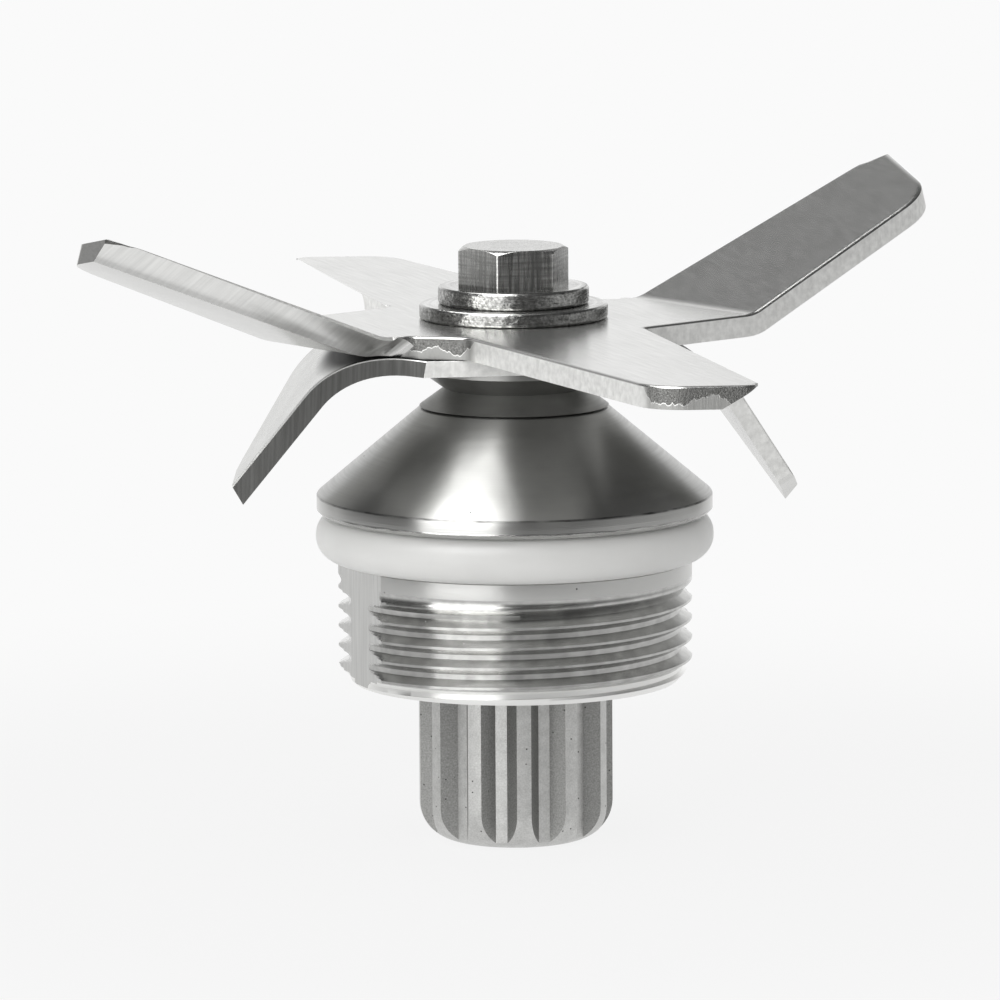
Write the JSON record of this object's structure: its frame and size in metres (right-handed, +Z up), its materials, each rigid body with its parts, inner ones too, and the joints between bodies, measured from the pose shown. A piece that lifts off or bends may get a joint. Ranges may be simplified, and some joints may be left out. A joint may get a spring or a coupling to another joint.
{
  "type": "blender blade assembly",
  "caption": "Blender blade assembly: bent, ground blades bolted to a splined shaft that runs on shielded ball bearings in a threaded housing with a jar gasket.",
  "frame": {"origin": "centre of the drive pinion's bottom face, on the shaft's axis", "axes": "+Z up the shaft's axis towards the bolt head; +X square to one of the housing's two flats; the flat arms of the upper blade lie along +Y and -Y"},
  "size_m": [0.0996, 0.1132, 0.066],
  "materials": {
    "bolt_steel": "bright stainless steel, drawn",
    "washer_steel": "polished stainless steel",
    "upper_blade_steel": "satin stainless steel sheet with ground bevels",
    "lower_blade_steel": "satin stainless steel sheet with ground bevels",
    "collar_steel": "satin turned stainless steel",
    "shaft_steel": "ground stainless steel",
    "sintered_iron": "sintered steel, fine pits",
    "housing_steel": "bright turned stainless steel",
    "white_silicone": "white silicone, satin",
    "pressed_steel": "pressed sheet steel",
    "seal_rubber": "black nitrile rubber",
    "spring_steel": "oiled spring steel",
    "bearing_steel": "ground bearing steel",
    "cage_nylon": "natural nylon"
  },
  "bodies": {
    "housing": {"bearing_housing": "housing_steel", "jar_gasket": "white_silicone", "shaft_seal_case": "pressed_steel", "shaft_seal_lip": "seal_rubber", "shaft_seal_spring": "spring_steel", "upper_bearing_outer_ring": "bearing_steel", "lower_bearing_outer_ring": "bearing_steel", "upper_bearing_shields": "pressed_steel", "lower_bearing_shields": "pressed_steel", "bearing_spacer_outer": "shaft_steel", "bearing_circlip": "spring_steel"},
    "rotor": {"hex_bolt": "bolt_steel", "upper_washer": "washer_steel", "lower_washer": "washer_steel", "upper_blade": "upper_blade_steel", "lower_blade": "lower_blade_steel", "shaft_collar": "collar_steel", "drive_shaft": "shaft_steel", "drive_pinion": "sintered_iron", "upper_bearing_inner_ring": "bearing_steel", "lower_bearing_inner_ring": "bearing_steel", "bearing_spacer_inner": "shaft_steel"},
    "upper_ball_set": {"upper_bearing_balls": "bearing_steel", "upper_bearing_cage": "cage_nylon"},
    "lower_ball_set": {"lower_bearing_balls": "bearing_steel", "lower_bearing_cage": "cage_nylon"}
  },
  "joints": [
    {"name": "rotor_spin", "type": "hinge", "parent": "housing", "child": "rotor", "pos_m": [0, 0, 0.03], "axis": [0, 0, 1], "continuous": true},
    {"name": "upper_ball_set_spin", "type": "hinge", "parent": "housing", "child": "upper_ball_set", "pos_m": [0, 0, 0.0316], "axis": [0, 0, 1], "continuous": true},
    {"name": "lower_ball_set_spin", "type": "hinge", "parent": "housing", "child": "lower_ball_set", "pos_m": [0, 0, 0.0226], "axis": [0, 0, 1], "continuous": true}
  ],
  "couplings": [
    {"joint": "upper_ball_set_spin", "follows": "rotor_spin", "ratio": 0.38095},
    {"joint": "lower_ball_set_spin", "follows": "rotor_spin", "ratio": 0.38095}
  ]
}
